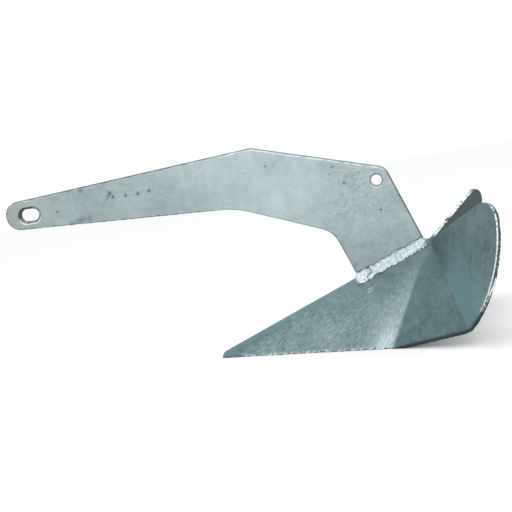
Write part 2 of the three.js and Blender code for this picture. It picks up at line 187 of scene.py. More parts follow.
class Shader:
    """A material under construction. Its nodes read the object's coordinates, in metres."""

    def __init__(self, name):
        self.material = bpy.data.materials.new(name)
        self.material.use_nodes = True
        self.tree = self.material.node_tree
        self.tree.nodes.clear()
        self.place = self.tree.nodes.new("ShaderNodeTexCoord").outputs["Object"]

    def add(self, kind, inputs=None, **settings):
        node = self.tree.nodes.new(kind)
        for key, value in settings.items():
            setattr(node, key, value)
        for key, value in (inputs or {}).items():
            if isinstance(value, bpy.types.NodeSocket):
                self.tree.links.new(value, node.inputs[key])
            else:
                node.inputs[key].default_value = value
        return node

    def noise(self, scale, detail=3, rough=0.55, at=None, distortion=0.0):
        node = self.add("ShaderNodeTexNoise", {
            "Vector": at or self.place, "Scale": scale, "Detail": detail,
            "Roughness": rough, "Distortion": distortion})
        return node.outputs["Fac"]

    def stretched(self, factors, at=None):
        node = self.add("ShaderNodeMapping", {"Vector": at or self.place, "Scale": factors})
        return node.outputs["Vector"]

    def turned(self, angle):
        """The object's coordinates, turned about Y."""
        node = self.add("ShaderNodeMapping", {"Vector": self.place, "Rotation": (0, angle, 0)})
        return node.outputs["Vector"]

    def cells(self, scale):
        node = self.add("ShaderNodeTexVoronoi", {"Vector": self.place, "Scale": scale})
        split = self.add("ShaderNodeSeparateColor", {"Color": node.outputs["Color"]})
        return split.outputs["Red"]

    def attribute(self, name):
        return self.add("ShaderNodeAttribute", attribute_name=name).outputs["Fac"]

    def attribute_vector(self, name):
        return self.add("ShaderNodeAttribute", attribute_name=name).outputs["Vector"]

    def math(self, operation, first, second=0.0):
        return self.add("ShaderNodeMath", {0: first, 1: second}, operation=operation).outputs[0]

    def total(self, first, *others):
        for value in others:
            first = self.math("ADD", first, value)
        return first

    def scaled(self, value, factor, shift=0.0):
        node = self.add("ShaderNodeMath", {0: value, 1: factor, 2: shift}, operation="MULTIPLY_ADD")
        return node.outputs[0]

    def remap(self, value, low, high, to_low=0.0, to_high=1.0):
        node = self.add("ShaderNodeMapRange", {
            "Value": value, "From Min": low, "From Max": high, "To Min": to_low, "To Max": to_high})
        return node.outputs["Result"]

    def mix(self, share, first, second):
        node = self.add("ShaderNodeMix", data_type="RGBA", clamp_factor=True)
        colors = [socket for socket in node.inputs if socket.type == "RGBA"]
        for socket, value in zip((node.inputs[0], *colors), (share, first, second)):
            if isinstance(value, bpy.types.NodeSocket):
                self.tree.links.new(value, socket)
            else:
                socket.default_value = value if socket is node.inputs[0] else (*value, 1)
        return [socket for socket in node.outputs if socket.type == "RGBA"][0]

    def ramp(self, value, stops):
        node = self.add("ShaderNodeValToRGB", {"Fac": value})
        elements = node.color_ramp.elements
        while len(elements) < len(stops):
            elements.new(0.5)
        for element, (position, color) in zip(elements, stops):
            element.position = position
            element.color = (*color, 1)
        return node.outputs["Color"]

    def bump(self, height, distance, strength=1.0, under=None):
        inputs = {"Height": height, "Distance": distance, "Strength": strength}
        if under is not None:
            inputs["Normal"] = under
        return self.add("ShaderNodeBump", inputs).outputs["Normal"]

    def surface(self, base, normal=None, roughness=None, **constants):
        shader = self.add("ShaderNodeBsdfPrincipled", constants)
        self.tree.links.new(base, shader.inputs["Base Color"])
        if normal is not None:
            self.tree.links.new(normal, shader.inputs["Normal"])
        if roughness is not None:
            self.tree.links.new(roughness, shader.inputs["Roughness"])
        output = self.add("ShaderNodeOutputMaterial")
        self.tree.links.new(shader.outputs[0], output.inputs["Surface"])


# ---- materials ------------------------------------------------------------------------------

def linear(*srgb):
    """Linear colour of 0 to 255 display values."""
    return tuple(c / 255 / 12.92 if c <= 10 else ((c / 255 + 0.055) / 1.055) ** 2.4
                 for c in srgb)


def shades(*stops):
    """Stops of a ramp, from pairs of a position and a display colour."""
    return [(position, linear(*color)) for position, color in stops]


def shank_zinc():
    """Smooth pale zinc with faint cloudy patches, small spangle and dark specks."""
    s = Shader("shank_zinc")
    clouds = s.noise(6, detail=5, rough=0.6)
    patches = s.noise(22, detail=4, rough=0.6, distortion=0.6)
    grain = s.noise(260, detail=3, rough=0.6)
    spangle = s.cells(75)
    scuffs, cross_scuffs = [
        s.noise(1.0, detail=3, rough=0.6, at=s.stretched((70, 1, 480), at=s.turned(angle)))
        for angle in (0.5, -0.6)]
    scuffed = s.total(s.scaled(scuffs, 0.8, -0.4), s.scaled(cross_scuffs, 0.6, -0.3))
    tone = s.total(
        s.scaled(clouds, 0.42, s.scaled(patches, 0.26, 0.155)),
        s.scaled(spangle, 0.06),
        s.math("MULTIPLY", scuffed, s.attribute("scuff")),
        s.scaled(grain, 0.10),
        s.attribute("tone"))
    base = s.ramp(tone, shades(
        (0.30, (118, 135, 138)), (0.52, (144, 161, 163)), (0.78, (180, 196, 198))))
    base = s.mix(s.attribute("warm"), base, linear(150, 152, 143))
    # stains, with painted shade on the edge walls and beside the welds
    base = s.mix(s.attribute("stain_and_shade"), base, linear(44, 60, 66))
    # painted highlight on the rounded edges that face up
    base = s.mix(s.attribute("painted_highlight"), base, linear(226, 238, 242))
    rough = s.remap(s.total(patches, s.scaled(spangle, 0.2)), 0.3, 0.9, 0.42, 0.60)
    fine = s.bump(grain, 0.0005, 0.35)
    normal = s.bump(patches, 0.0012, 0.35, under=fine)
    s.surface(base, normal, rough, Metallic=0.55)
    return s.material


def fluke_zinc():
    """Dull mottled zinc with a wrinkled texture that runs down the panels, and run marks."""
    s = Shader("fluke_zinc")
    flow = s.attribute_vector("flow")
    coarse = s.attribute("coarse")
    clouds = s.noise(7, detail=5, rough=0.6)
    mottle = s.noise(38, detail=5, rough=0.65, distortion=0.8)
    along, fine_along = s.stretched((70, 190, 1), at=flow), s.stretched((160, 520, 1), at=flow)
    wrinkle = s.noise(1.0, detail=4, rough=0.6, at=along, distortion=0.5)
    fine_wrinkle = s.noise(1.0, detail=3, rough=0.6, at=fine_along, distortion=0.4)
    grain = s.noise(330, detail=3, rough=0.6)
    drips = s.noise(1.0, detail=3, rough=0.5, at=s.stretched((90, 90, 7)))
    # on the fluke the tone attribute carries painted highlights and painted shade
    tone = s.total(
        s.scaled(clouds, 0.45, s.scaled(mottle, 0.30)),
        s.math("MULTIPLY", s.scaled(wrinkle, 0.60, -0.30), coarse),
        s.math("MULTIPLY", s.scaled(fine_wrinkle, 0.50, -0.25), coarse),
        s.scaled(grain, 0.10),
        s.attribute("tone"))
    base = s.ramp(tone, shades(
        (0.32, (72, 97, 102)), (0.56, (118, 142, 147)), (0.80, (160, 180, 185)),
        (1.0, (206, 222, 226))))
    marks = s.remap(drips, 0.60, 0.72)
    base = s.mix(s.math("MULTIPLY", marks, s.attribute("runs")), base, linear(66, 84, 90))
    # stains, with painted shade on the walls, the inner faces, the lower lip and beside the welds
    base = s.mix(s.attribute("stain_and_shade"), base, linear(30, 42, 46))
    base = s.mix(s.attribute("teal"), base, linear(98, 140, 142))
    # painted highlights on the trailing edge, beside the notch and on the drips
    base = s.mix(s.attribute("painted_highlight"), base, linear(240, 248, 250))
    rough = s.remap(mottle, 0.3, 0.75, 0.50, 0.68)
    fine = s.bump(grain, 0.0006, 0.4)
    normal = s.bump(s.math("MULTIPLY", wrinkle, coarse), 0.0060, 0.7, under=fine)
    s.surface(base, normal, rough, Metallic=0.55)
    return s.material


def weld_zinc(name, dark, middle, light):
    """Zinc over rippled weld metal, grey in the hollows."""
    s = Shader(name)
    lumps = s.noise(120, detail=4, rough=0.6)
    grain = s.noise(420, detail=3)
    tone = s.scaled(lumps, 0.8, s.scaled(grain, 0.2))
    base = s.ramp(tone, shades((0.30, dark), (0.45, middle), (0.66, light)))
    # stains, with painted shade along the seams and in the troughs
    base = s.mix(s.attribute("stain_and_shade"), base, linear(70, 86, 92))
    rough = s.remap(lumps, 0.3, 0.7, 0.30, 0.5)
    normal = s.bump(lumps, 0.0022, 0.6)
    s.surface(base, normal, rough, Metallic=0.35)
    return s.material


def ballast_steel():
    """Plain rolled steel with mill scale, shut in behind the cover."""
    s = Shader("ballast_steel")
    scale = s.noise(30, detail=5, rough=0.65)
    grain = s.noise(300, detail=3)
    base = s.ramp(scale, shades((0.35, (84, 88, 92)), (0.7, (122, 128, 132))))
    rough = s.remap(scale, 0.3, 0.7, 0.55, 0.8)
    s.surface(base, s.bump(grain, 0.0004, 0.5), rough, Metallic=0.6)
    return s.material


# ---- mesh building --------------------------------------------------------------------------

SMOOTHING = 2                     # rounds of smoothing on each dense copy
SHANK_VOXEL, FLUKE_VOXEL, UNDER_WELD_VOXEL = 0.0023, 0.0028, 0.0013
DARKEST = 0.95                    # most that the stains and painted shade cover
FLAT_FACE = 0.9                   # how squarely a vertex of a cheek faces to the side


def unit(vector):
    return vector / np.linalg.norm(vector)


def smooth_step(value, low, high):
    """Rises smoothly from 0 at the low value to 1 at the high one."""
    share = np.clip((np.asarray(value, float) - low) / (high - low), 0, 1)
    return share * share * (3 - 2 * share)


def noise_at(points, size, seed=0.0):
    """Smooth noise from -1 to 1 at points in millimetres, with lumps of about that size."""
    shift = Vector((seed * 17.3, seed * 9.1, seed * 5.7))
    return np.array([noise.noise(Vector(p) / size + shift) for p in points])


def dense_copy(node, voxel):
    """A copy of a CAD node's mesh in small even faces, with its edges a little rounded."""
    mesh = nodes[node].data.copy()
    shape = bmesh.new()
    shape.from_mesh(mesh)
    bmesh.ops.remove_doubles(shape, verts=shape.verts, dist=1e-6)
    shape.to_mesh(mesh)
    shape.free()
    draft = bpy.data.objects.new("draft", mesh)
    bpy.context.scene.collection.objects.link(draft)
    remesh = draft.modifiers.new("remesh", "REMESH")
    remesh.mode = "VOXEL"
    remesh.voxel_size = voxel
    smooth = draft.modifiers.new("smooth", "SMOOTH")
    smooth.iterations = SMOOTHING
    smooth.factor = 0.5
    depsgraph = bpy.context.evaluated_depsgraph_get()
    dense = bpy.data.meshes.new_from_object(draft.evaluated_get(depsgraph), depsgraph=depsgraph)
    bpy.data.objects.remove(draft)
    dense.materials.clear()
    return dense


def read_mesh(mesh):
    """A mesh's points, in millimetres from the toe, and their normals."""
    count = len(mesh.vertices)
    points = np.zeros(count * 3)
    mesh.vertices.foreach_get("co", points)
    normals = np.zeros(count * 3)
    mesh.vertices.foreach_get("normal", normals)
    return to_toe(points.reshape(-1, 3)), normals.reshape(-1, 3)


def write_mesh(mesh, points):
    mesh.vertices.foreach_set("co", to_row(points).ravel())
    mesh.update()


def set_attribute(mesh, name, values):
    """Gives each vertex a value that the materials read."""
    kind = "FLOAT_VECTOR" if np.ndim(values) == 2 else "FLOAT"
    layer = mesh.attributes.new(name, kind, "POINT")
    layer.data.foreach_set("vector" if kind == "FLOAT_VECTOR" else "value",
                           np.asarray(values, np.float32).ravel())


def show(name, mesh, material, slot, *replaced):
    """Puts a finished mesh in the scene in place of CAD nodes."""
    mesh.materials.append(material)
    for face in mesh.polygons:
        face.use_smooth = True
    piece = bpy.data.objects.new(name, mesh)
    bpy.context.scene.collection.objects.link(piece)
    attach(piece, "root")
    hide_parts(*replaced)
    return piece


def near_line(points, start, end):
    """Distance of each point from a line between two points, and how far along it lies."""
    start, end = np.asarray(start, float), np.asarray(end, float)
    along = end - start
    share = np.clip((points - start) @ along / (along @ along), 0, 1)
    return np.linalg.norm(points - start - share[:, None] * along, axis=1), share


def edge_ends(mesh):
    """The two vertices of each edge."""
    ends = np.zeros(len(mesh.edges) * 2, int)
    mesh.edges.foreach_get("vertices", ends)
    return ends.reshape(-1, 2)


def undercut_shade(point, gap, strength, width, cover):
    """A painted shadow line beside a weld, in patches. The gap is from the weld's edge."""
    patchy = min(1, max(0, cover + 1.2 * noise.noise(Vector(point) / 9)))
    return strength * math.exp(-(gap / (width if gap > 0 else 4)) ** 2) * patchy


def relax_near(mesh, points, weight, steps):
    """Evens out the vertices where the weight is not zero."""
    edges = edge_ends(mesh)
    keep = (weight[edges[:, 0]] > 0) | (weight[edges[:, 1]] > 0)
    edges = edges[keep]
    count = np.bincount(edges.ravel(), minlength=len(points)).astype(float)
    count[count == 0] = 1
    for _ in range(steps):
        total = np.zeros_like(points)
        np.add.at(total, edges[:, 0], points[edges[:, 1]])
        np.add.at(total, edges[:, 1], points[edges[:, 0]])
        points = points + (total / count[:, None] - points) * weight[:, None] * 0.6
    return points


def spread(mesh, values, steps):
    """Values averaged with their neighbours, a number of times."""
    one, two = edge_ends(mesh).T
    size = len(values)
    count = np.bincount(one, minlength=size) + np.bincount(two, minlength=size)
    for _ in range(steps):
        total = np.bincount(one, values[two], size) + np.bincount(two, values[one], size)
        values = 0.5 * values + 0.5 * total / np.maximum(count, 1)
    return values


# ---- shank ----------------------------------------------------------------------------------

SLOT_AT = (-456.0, 498.0)         # X and Z of the shackle slot's middle
HOLE_AT = (545.0, 423.0)
HOLES = [         # centre, half the straight length, slope, radius, swell, flare
    (SLOT_AT, 11.0, math.radians(-3), 21.0, 4.2, 1.6),
    (HOLE_AT, 0.0, 0.0, 15.5, 1.4, 0.6),
]
SHANK_PITS = [    # X and Z, radius, depth
    (-370, 493, 4.5, 1.6), (458, 430, 5.0, 1.8), (544, 341, 4.5, 1.8), (420, 373, 3.5, 1.0),
    (433, 479, 3.5, 1.2), (451, 206, 3.0, 1.2), (450, 199, 3.0, 1.2), (253, 513, 3.5, 1.2),
    (423, 460, 2.8, 1.2),
]
PUNCH_MARKS = [   # the same, for a plain row of round marks
    (-196, 506, 6.0, 2.2), (-158, 504, 6.0, 2.2), (-121, 503, 6.0, 2.2), (-88, 505, 6.0, 2.2),
]
STARBOARD_PITS = 9
DARK_PIT = 1.15   # pits deeper than this are dark inside
SHANK_STAINS = [  # X and Z, half length, half height, strength
    (-332, 452, 8, 6, 0.4), (-303, 457, 16, 8, 0.45), (-276, 461, 6, 8, 0.35),
    (-203, 518, 6, 6, 0.6), (-209, 508, 5, 5, 0.4), (-288, 541, 7, 8, 0.5),
    (-329, 547, 14, 4, 0.35), (-250, 556, 10, 4, 0.3), (476, 440, 20, 26, 0.10),
    (500, 380, 30, 40, 0.08),
]
SHANK_SCRATCHES = [  # X and Z of both ends
    (-214, 532, -201, 517), (-201, 517, -231, 486), (-201, 517, -187, 529),
    (-220, 512, -203, 516), (290, 524, 255, 497), (475, 402, 514, 420),
    (486, 450, 520, 458), (-300, 470, -270, 448),
]


def shank_marks():
    """Every pit and punch mark: X and Z, radius, depth, side."""
    marks = [(*mark, PORT) for mark in SHANK_PITS + PUNCH_MARKS]
    rng = random.Random(11)
    for _ in range(STARBOARD_PITS):
        x, z = rng.uniform(-460, 480), 505 + rng.uniform(-25, 25)
        marks.append((x, z, rng.uniform(3, 5), rng.uniform(0.8, 1.6), STARBOARD))
    return marks


def from_centre(points, centre):
    """Distance in the side view."""
    return np.hypot(points[:, 0] - centre[0], points[:, 2] - centre[1])


def round_hole(points, centre, half_length, slope, radius, swell, flare):
    """Rounds a hole's wall: fuller by the swell at the middle of the plate, flared at its faces."""
    axis = np.array((math.cos(slope), math.sin(slope)))
    away = points[:, [0, 2]] - centre
    along = np.clip(away @ axis, -half_length, half_length)
    spoke = away - along[:, None] * axis
    gap = np.linalg.norm(spoke, axis=1)
    outward = spoke / np.maximum(gap, 1e-6)[:, None]
    beyond = gap - radius
    level = np.clip(np.abs(points[:, 1]) / HALF_SHANK, 0, 1)
    push = swell * np.sqrt(1 - level ** 2.5) - flare * level ** 4
    share = 1 - smooth_step(beyond, 1.0, 7.0)
    moved = points.copy()
    moved[:, [0, 2]] -= outward * (push * share)[:, None]
    fall = 2.2 * (1 - smooth_step(beyond, -1.0, 4.5)) * smooth_step(level, 0.7, 0.98)
    moved[:, 1] -= np.sign(points[:, 1]) * fall
    return moved


def cut_shank_edge(points, normals, edge):
    """Cuts back the flame-cut edge unevenly, most of all along the arm's top and foot."""
    x, z = points[:, 0], points[:, 2]
    ragged = noise_at(points, 9, 1) + 0.6 * noise_at(points, 4, 2)
    long_wave = noise_at(points, 60, 3)
    arm_top = smooth_step(z, 500, 540) * smooth_step(180 - x, 0, 40)
    arm_foot = smooth_step(x, -360, -320) * smooth_step(-150 - x, 0, 60)
    arm_foot = arm_foot * smooth_step(480 - z, 0, 20)
    depth = 0.3 + 0.35 * long_wave + ragged * (0.3 + 3.2 * np.maximum(arm_top, arm_foot))
    cut = np.clip(depth, 0, 3.4) * edge
    return points - normals * (1, 0, 1) * cut[:, None]


def shape_shank(points, normals, marks):
    flat = np.abs(normals[:, 1])
    on_port = normals[:, 1] < -0.7
    edge = 1 - smooth_step(flat, 0.80, 0.98)
    side_view = points[:, [0, 2]]
    points = cut_shank_edge(points, normals, edge)
    dent = 0.12 * (1 + noise_at(points, 45, 4)) * (1 - edge)
    for x, z, radius, deep, side in marks:
        away = np.hypot(side_view[:, 0] - x, side_view[:, 1] - z) / radius
        bowl = deep * np.exp(-away ** 2 * 1.6)
        dent = dent + np.where(on_port == (side == PORT), bowl, 0) * (flat > FLAT_FACE)
    points[:, 1] -= np.sign(normals[:, 1]) * dent * (flat > FLAT_FACE)
    for hole in HOLES:
        points = round_hole(points, *hole)
    return points


def cheek_stain(side_view, on_port, marks):
    """Stains, scratches and the dark insides of pits."""
    stain_and_shade = np.zeros(len(side_view))
    for x, z, wide, high, strength in SHANK_STAINS:
        away = np.hypot((side_view[:, 0] - x) / wide, (side_view[:, 1] - z) / high)
        stain_and_shade += strength * np.exp(-away ** 2) * on_port
    for x, z, radius, deep, side in marks:
        away = np.hypot(side_view[:, 0] - x, side_view[:, 1] - z) / radius
        on_side = on_port == (side == PORT)
        stain_and_shade += 0.95 * np.exp(-away ** 2 * 2) * on_side * (deep > DARK_PIT)
    for x0, z0, x1, z1 in SHANK_SCRATCHES:
        away, _ = near_line(side_view, (x0, z0), (x1, z1))
        stain_and_shade += 0.30 * np.exp(-(away / 1.4) ** 2) * on_port
    return stain_and_shade


def cheek_undercut_shade(points, flat):
    """A painted shadow line on the cheeks along the top of the welds."""
    dark = np.zeros(len(points))
    run, rise = points @ RUN_AXIS, points @ RISE_AXIS
    foot = (run > POST_TOE_RUN) & (run < POST_HEEL_RUN + 6) & (rise < 24)
    for i in np.flatnonzero((flat > FLAT_FACE) & foot):
        side = math.copysign(1, points[i, 1])
        height = weld_rise(run[i], side) if run[i] > TOE_WELD_END else TOE_WELD_RISE
        gap = rise[i] - (height + crown_surface(HALF_SHANK)) - 0.8
        dark[i] = undercut_shade(points[i], gap, 0.9, 1.8, 0.75)
    return dark


def shank_edges(mesh, points, normals):
    """Painted shade and painted highlight on the cut edges: a painted dark outline, broken along the
    arm and faint in the throat, painted shade on the post's rear edge, and a painted highlight line
    where a rounded edge faces up."""
    x = points[:, 0]
    flat = np.abs(normals[:, 1])
    walls = 1 - smooth_step(flat, 0.72, 0.93)
    near_edge = spread(mesh, walls, 3)
    up = spread(mesh, smooth_step(normals[:, 2], 0.42, 0.55) * walls, 3)
    down = spread(mesh, smooth_step(-normals[:, 2], 0.3, 0.7) * walls, 3)
    throat = spread(mesh, smooth_step(-normals[:, 2], 0.60, 0.85) * walls, 3)
    throat = throat * smooth_step(x, 60, 120)
    rear = spread(mesh, smooth_step(normals[:, 0], 0.70, 0.85) * walls, 4)
    rear = rear * smooth_step(x, 480, 540) * smooth_step(flat, 0.25, 0.65)
    at_slot = 1 - smooth_step(from_centre(points, SLOT_AT), 38, 46)
    at_hole = 1 - smooth_step(from_centre(points, HOLE_AT), 18, 24)
    arm = smooth_step(170 - x, 0, 60)

    # painted shade: a dark outline on the edge walls
    outline = smooth_step(near_edge, 0.09, 0.28)
    outline = outline * (1 - 0.55 * smooth_step(near_edge, 0.55, 0.9) * (1 - at_slot))
    lit = np.maximum(smooth_step(normals[:, 2], 0.0, 0.4), smooth_step(-normals[:, 0], 0.0, 0.5))
    outline = outline * (1 - 0.75 * at_slot * lit) * (1 - 0.45 * at_hole)
    gaps = 1 - smooth_step(noise_at(points, 10, 27), -0.2, 0.3)
    outline = outline * (1 - 0.75 * arm * (1 - at_slot) * smooth_step(down, 0.01, 0.1) * gaps)
    outline = outline * (1 - 0.7 * smooth_step(throat, 0.01, 0.1) * (1 - at_hole))
    dirt = arm * smooth_step(near_edge, 0.03, 0.2)
    dirt = dirt * smooth_step(noise_at(points, 14, 26), 0.0, 0.3)
    # painted shade on the outline and on the post's rear edge, with dirt along the arm's edges
    dark = 0.92 * outline + 0.4 * dirt + 0.9 * smooth_step(rear, 0.01, 0.12) * (1 - at_hole)

    uneven = smooth_step(noise_at(points, 18, 25), -0.6, 0.2)
    # painted highlight on the rounded edges that face up, strongest at the slot
    band = smooth_step(up, 0.002, 0.012) * (1 - smooth_step(near_edge, 0.11, 0.22))
    edge_highlight = (1.1 + 0.6 * at_slot - 0.6 * at_hole) * band
    edge_highlight = edge_highlight * (0.35 + 0.65 * np.maximum(uneven, at_slot))
    edge_highlight = edge_highlight * (1 - 0.8 * arm * (1 - at_slot))
    return dark, np.clip(edge_highlight, 0, 1)


def shank_tone(points):
    """Lighter along the hump, darker down the post and on the arm."""
    x, z = points[:, 0], points[:, 2]
    tone = 0.03 + 0.04 * smooth_step(z, 430, 560) - 0.10 * smooth_step(300 - z, 0, 130)
    tone = tone + 0.06 * smooth_step(x, -100, 150) * smooth_step(500 - x, 0, 200)
    return tone - 0.05 * smooth_step(120 - x, 0, 150) * (1 - 0.4 * smooth_step(-340 - x, 0, 60))


def shank_scuffs(points):
    """Fine scuffs, most of all on the post below the lock hole."""
    x, z = points[:, 0], points[:, 2]
    scuff = np.exp(-((x - 500) / 70) ** 2 - ((z - 395) / 65) ** 2)
    return np.clip(scuff + 0.35 * smooth_step(x, 300, 420), 0, 1)


def make_shank(material):
    mesh = dense_copy("shank", SHANK_VOXEL)
    points, normals = read_mesh(mesh)
    side_view = points[:, [0, 2]]
    marks = shank_marks()
    points = shape_shank(points, normals, marks)
    write_mesh(mesh, points)

    stain_and_shade = cheek_stain(side_view, normals[:, 1] < -0.7, marks)
    stain_and_shade = stain_and_shade + cheek_undercut_shade(points, np.abs(normals[:, 1]))
    dark, edge_highlight = shank_edges(mesh, points, normals)
    # stains, and painted shade as a dark outline on the edges and a shadow line above the welds
    set_attribute(mesh, "stain_and_shade", np.clip(stain_and_shade + dark, 0, DARKEST))
    set_attribute(mesh, "painted_highlight", edge_highlight)
    set_attribute(mesh, "tone", shank_tone(points))
    set_attribute(mesh, "scuff", shank_scuffs(points))
    set_attribute(mesh, "warm", 0.38 * smooth_step(-350 - points[:, 0], 0, 110))
    return show("shank_galvanised", mesh, material, "shank_zinc", "shank")


# ---- fluke ----------------------------------------------------------------------------------

FRONT_FOLD = unit(SHOULDER - HEEL)
REAR_FOLD = unit(WING_CORNER - HEEL)
PANEL_A = unit(np.array((0, math.sin(TILT), 0)) + RISE_AXIS * math.cos(TILT))    # front panel
PANEL_B = unit(np.cross(WING_CORNER - HEEL, SHOULDER - HEEL))                    # between folds
PANEL_C = unit(np.cross(WING_WIDEST - HEEL, WING_CORNER - HEEL))                 # wing
PANELS = (PANEL_A, PANEL_B, PANEL_C)

LOW_START = np.array((18.5, 15.6, 0.0))         # where the front panel's plane meets the floor
HIGHLIGHT_FOOT = (500, 168, 14)                    # foot of the front panel, beside the fold, where a painted highlight sits
WING_LOW_CORNER = (752, 332, 92)
LOWER_LIP = (12, 5, 1)                          # from the shoulder to the lower edge's lip
FLUKE_PITS = [(224, 61, 28, 3.5, 1.3), (272, 52, 56, 3.5, 1.3)]    # a point, radius and depth
DRIP = [          # a run of zinc below the toe weld
    (476, -48, 138), (487, -48.5, 141), (489.5, -52.6, 137), (486, -54.6, 134),
    (475, -54.6, 129.5),
]
WING_STREAKS = [  # both ends, strength
    ((717, 131, 245), (715, 147, 221), 0.35), ((736, 178, 250), (734, 190, 205), 0.3),
    ((748, 222, 215), (743, 243, 170), 0.3),
]


def across_fold(fold, panel, towards):
    """Unit vector square to a fold, in a panel, on the same side of the heel as a point."""
    square = unit(np.cross(fold, panel))
    return square * np.sign((towards - HEEL) @ square)


def near_drip(points, width):
    """Nearness to each stretch of the run of zinc below the toe weld."""
    for start, end in zip(DRIP, DRIP[1:]):
        gap, _ = near_line(points, start, end)
        yield np.exp(-(gap / width) ** 2)


class FlukeMap:
    """Where each vertex of the fluke lies and how it faces, with both halves laid on the
    starboard one: its distances from the heel, the folds and the lower edge, and its panel."""

    def __init__(self, points, normals):
        side = np.sign(points[:, 1])
        self.mirrored = points * (1, 0, 1) + np.abs(points) * (0, 1, 0)
        facing = normals * (1, 0, 1) + (side * normals[:, 1])[:, None] * (0, 1, 0)
        crown = (normals @ RISE_AXIS) * (np.abs(points[:, 1]) < CROWN_RADIUS)
        self.outer = np.maximum.reduce([facing @ panel for panel in PANELS] + [crown])
        inward = np.maximum.reduce([-facing @ panel for panel in PANELS])
        self.face = np.maximum(self.outer, inward)
        self.top = smooth_step(self.outer, 0.80, 0.95)
        self.inner = smooth_step(inward, 0.75, 0.92)

        from_heel = self.mirrored - HEEL
        self.reach = np.linalg.norm(from_heel, axis=1)
        self.along_front = from_heel @ FRONT_FOLD
        self.along_rear = from_heel @ REAR_FOLD
        self.side_front = from_heel @ across_fold(FRONT_FOLD, PANEL_A, on_crown(300, 60, 0))
        self.side_rear = from_heel @ across_fold(REAR_FOLD, PANEL_B, SHOULDER)
        self.on_a = smooth_step(self.side_front, -4, 8)
        self.on_c = 1 - smooth_step(self.side_rear, -6, 2)
        self.on_b = np.clip(1 - self.on_a - self.on_c, 0, 1)

        self.from_low, _ = near_line(self.mirrored, LOW_START, SHOULDER)
        x = points[:, 0]
        self.teeth = smooth_step(x, 50, 110) * (1 - smooth_step(x, 515, 530))

    def settle(self, points):
        """Takes the finished places, which the edges of the looks follow."""
        self.points = points
        self.x, self.across, self.z = points[:, 0], np.abs(points[:, 1]), points[:, 2]
        self.crown = (1 - smooth_step(self.across, 14, 24)) * self.on_a
        self.notch = (1 - smooth_step(self.face, 0.55, 0.9)) * (self.across < 238)
        self.notch = self.notch * smooth_step(self.x, 664, 676)
        self.patches = smooth_step(noise_at(points, 12, 31), -0.4, -0.05)
        self.patches = self.patches * (1 - smooth_step(self.across, 188, 222))


def bite_lower_edge(points, at):
    """How deep the bites between the hanging drips of zinc are."""
    low = np.exp(-(at.from_low / 7.5) ** 2)
    along_edge = points * (1, 1, 0)
    ragged = 7.0 * noise_at(along_edge, 11, 5) + 9.0 * noise_at(along_edge, 4.5, 6)
    return np.clip(2.2 + ragged, 0, 8.0) * low * at.teeth


def up_the_panel(points):
    """The direction from the lower edge up the front panel, on each point's own side."""
    up = unit(np.cross(SHOULDER - LOW_START, PANEL_A))
    up = up * np.sign(up[2])
    return up * (1, 0, 1) + np.sign(points[:, 1])[:, None] * up * (0, 1, 0)


def shape_fluke(points, normals, at):
    wave = 0.21 * (1 + noise_at(points, 55, 7))
    edge = 1 - smooth_step(at.face, 0.75, 0.95)
    rough = np.clip(0.3 + 0.5 * noise_at(points, 7, 8), 0, 1) * (0.4 + 0.6 * edge)
    dent = wave + rough
    for x, y, z, radius, deep in FLUKE_PITS:
        away = np.linalg.norm(at.mirrored - (x, y, z), axis=1) / radius
        dent = dent + deep * np.exp(-away ** 2 * 1.5) * at.top
    for near in near_drip(points, 2.2):
        dent = dent - 0.8 * near
    bite = bite_lower_edge(points, at)
    clear_of_floor = smooth_step(points[:, 2], 0.5, 4.0)
    points = points - normals * (dent * clear_of_floor)[:, None]
    points = points + up_the_panel(points) * bite[:, None]
    points[:, 2] = np.maximum(points[:, 2], 0.0)
    return points


def fluke_tone_and_painted_light(at):
    """Painted light and shade: a painted highlight along the front fold and at its foot, painted
    shade on the panel between the folds (less near the heel), on the wing, on the walls and on the
    inner faces, and bright painted patches at the notch.
    """
    # painted highlight along the front fold, widening downwards
    width = 12 + 0.19 * np.clip(at.along_front, 0, 400)
    fold_highlight = np.exp(-(np.clip(at.side_front, 0, None) / width) ** 2) * at.on_a
    # painted highlight at the foot of the front fold
    from_foot = np.linalg.norm(at.mirrored - HIGHLIGHT_FOOT, axis=1)
    foot_highlight = np.exp(-(from_foot / 36) ** 2) * at.on_a
    low_fold = smooth_step(at.along_front, 215, 300)
    tone = 0.135 + 0.18 * fold_highlight * smooth_step(at.along_front, 20, 200) + 0.11 * foot_highlight
    tone = tone + 0.05 * low_fold * np.exp(-((at.side_front - 26) / 30) ** 2) * at.on_a
    tone = tone - 0.03 * (1 - smooth_step(at.x, 150, 330))
    # painted shade on the panel between the folds and on the wing
    tone = tone + (0.14 * np.exp(-(at.reach / 150) ** 2) - 0.18) * at.on_b
    tone = tone + (-0.07 - 0.06 * smooth_step(at.z, 150, 240)) * at.on_c
    # painted shade in a thin line beside the crown
    crown_edge_shade = np.exp(-((at.across - 23) / 4) ** 2) * at.on_a * (at.x < 250)
    tone = tone - 0.01 * at.crown - 0.05 * crown_edge_shade
    # painted shade on the walls
    tone = tone * at.top - 0.12 * (1 - at.top)
    # painted highlight patches at the notch, painted shade on the inner faces
    return tone + at.notch * (0.06 + 0.42 * at.patches) - 0.20 * at.inner


def heel_darkening(at):
    """Darker mottled patches between the folds, near the heel."""
    dark = np.exp(-(at.reach / 60) ** 2) * smooth_step(-at.side_front, 6, 26) * 0.30
    away = np.hypot((at.side_rear + 14) / 22, (at.along_rear - 50) / 50)
    mottle = 0.7 + 0.6 * noise_at(at.points * (1, 1, 0.2), 7, 33)
    return dark + 0.22 * np.exp(-away ** 2) * mottle


